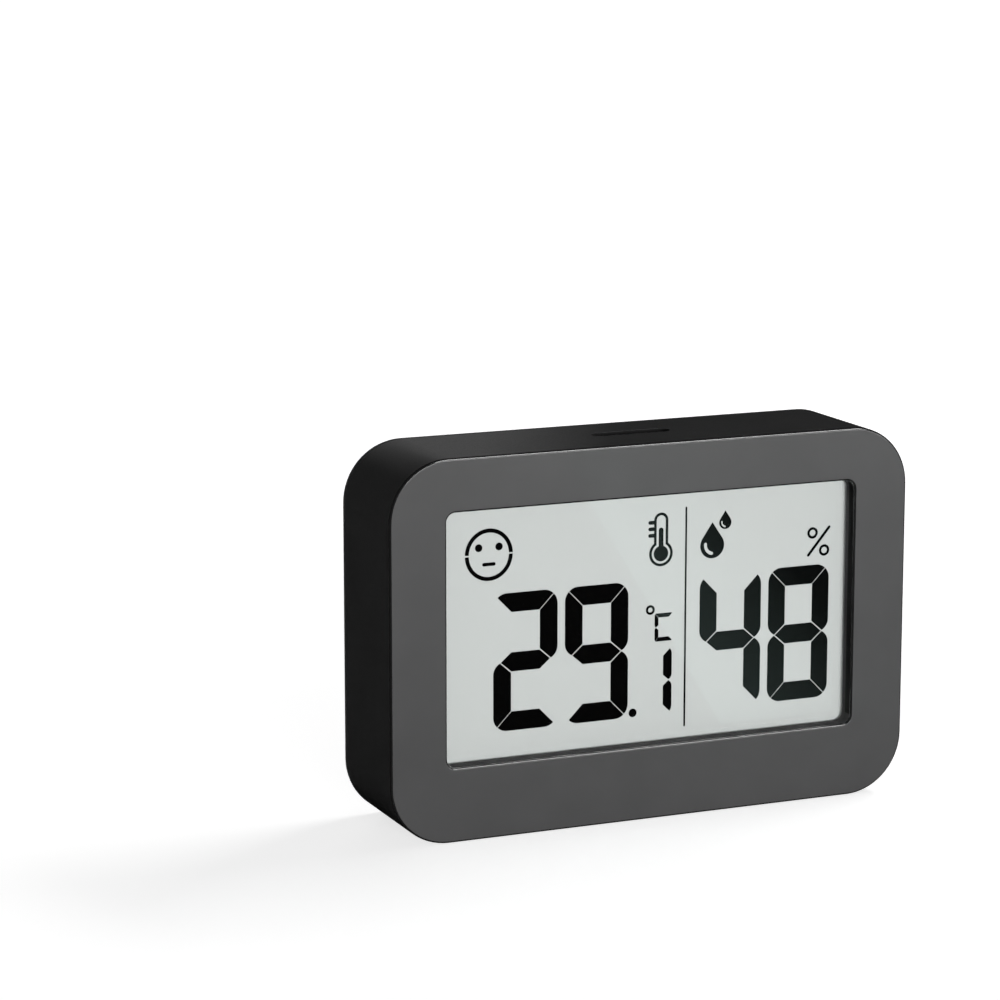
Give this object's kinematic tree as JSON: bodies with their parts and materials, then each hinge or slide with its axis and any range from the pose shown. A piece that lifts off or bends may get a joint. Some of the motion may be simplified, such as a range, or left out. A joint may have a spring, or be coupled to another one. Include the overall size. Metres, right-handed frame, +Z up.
{
  "type": "temperature humidity sensor",
  "caption": "Small upright display that shows room temperature and humidity, with a rounded case, vent slot, fold-out stand, coin-cell door and unit button.",
  "frame": {"origin": "middle of the base, on the surface that it stands on", "axes": "+Z up, +X to the right seen from the front, the display faces -Y"},
  "size_m": [0.06, 0.0138, 0.0407],
  "materials": {
    "case_plastic": "satin charcoal moulding with a very fine grain",
    "door_plastic": "satin charcoal moulding",
    "stand_plastic": "satin charcoal moulding",
    "button_plastic": "satin dark grey moulding",
    "window_clear": "clear polished acrylic",
    "bond_black": "black foam tape",
    "polariser_film": "pale grey polarising film",
    "display_glass": "clear display glass",
    "reflector_film": "silver grey reflecting film",
    "zebra_rubber": "layered conductive silicone",
    "foam": "closed-cell foam",
    "board": "green solder mask over copper",
    "resin": "black potting resin",
    "metal": "drawn metal can",
    "chip_ceramic": "tan ceramic with tinned ends",
    "screw_steel": "zinc-plated steel",
    "switch_plastic": "black switch moulding",
    "cell_steel": "nickel-plated steel",
    "spring_metal": "nickel-plated spring bronze",
    "magnet_plating": "bright nickel plating"
  },
  "bodies": {
    "case": {"front_shell": "case_plastic", "rear_cover": "case_plastic", "window_lens": "window_clear", "lens_adhesive": "bond_black", "lcd_front_polariser": "polariser_film", "lcd_front_glass": "display_glass", "lcd_rear_glass": "display_glass", "lcd_reflector": "reflector_film", "zebra_strip": "zebra_rubber", "lcd_support_foam": "foam", "main_pcb": "board", "controller_blob": "resin", "sensor_chip": "resin", "crystal": "metal", "chip_components": "chip_ceramic", "pcb_screws": "screw_steel", "switch_housing": "switch_plastic", "coin_cell": "cell_steel", "battery_negative_contact": "spring_metal", "battery_positive_contact": "spring_metal", "magnets": "magnet_plating", "case_screws": "screw_steel"},
    "stand_arm": {"stand": "stand_plastic"},
    "door": {"battery_door": "door_plastic"},
    "button": {"unit_button": "button_plastic", "switch_plunger": "switch_plastic"}
  },
  "joints": [
    {"name": "stand_fold", "type": "hinge", "parent": "case", "child": "stand_arm", "pos_m": [0, 0.00585, 0.0305], "axis": [1, 0, 0], "range_deg": [0, 55]},
    {"name": "door_turn", "type": "hinge", "parent": "case", "child": "door", "pos_m": [0, 0.0062, 0.02035], "axis": [0, 1, 0], "range_deg": [0, 40]},
    {"name": "button_press", "type": "slide", "parent": "case", "child": "button", "axis": [0, -1, 0], "range_m": [0, 0.00025], "stiffness_N_per_m": 4000}
  ]
}
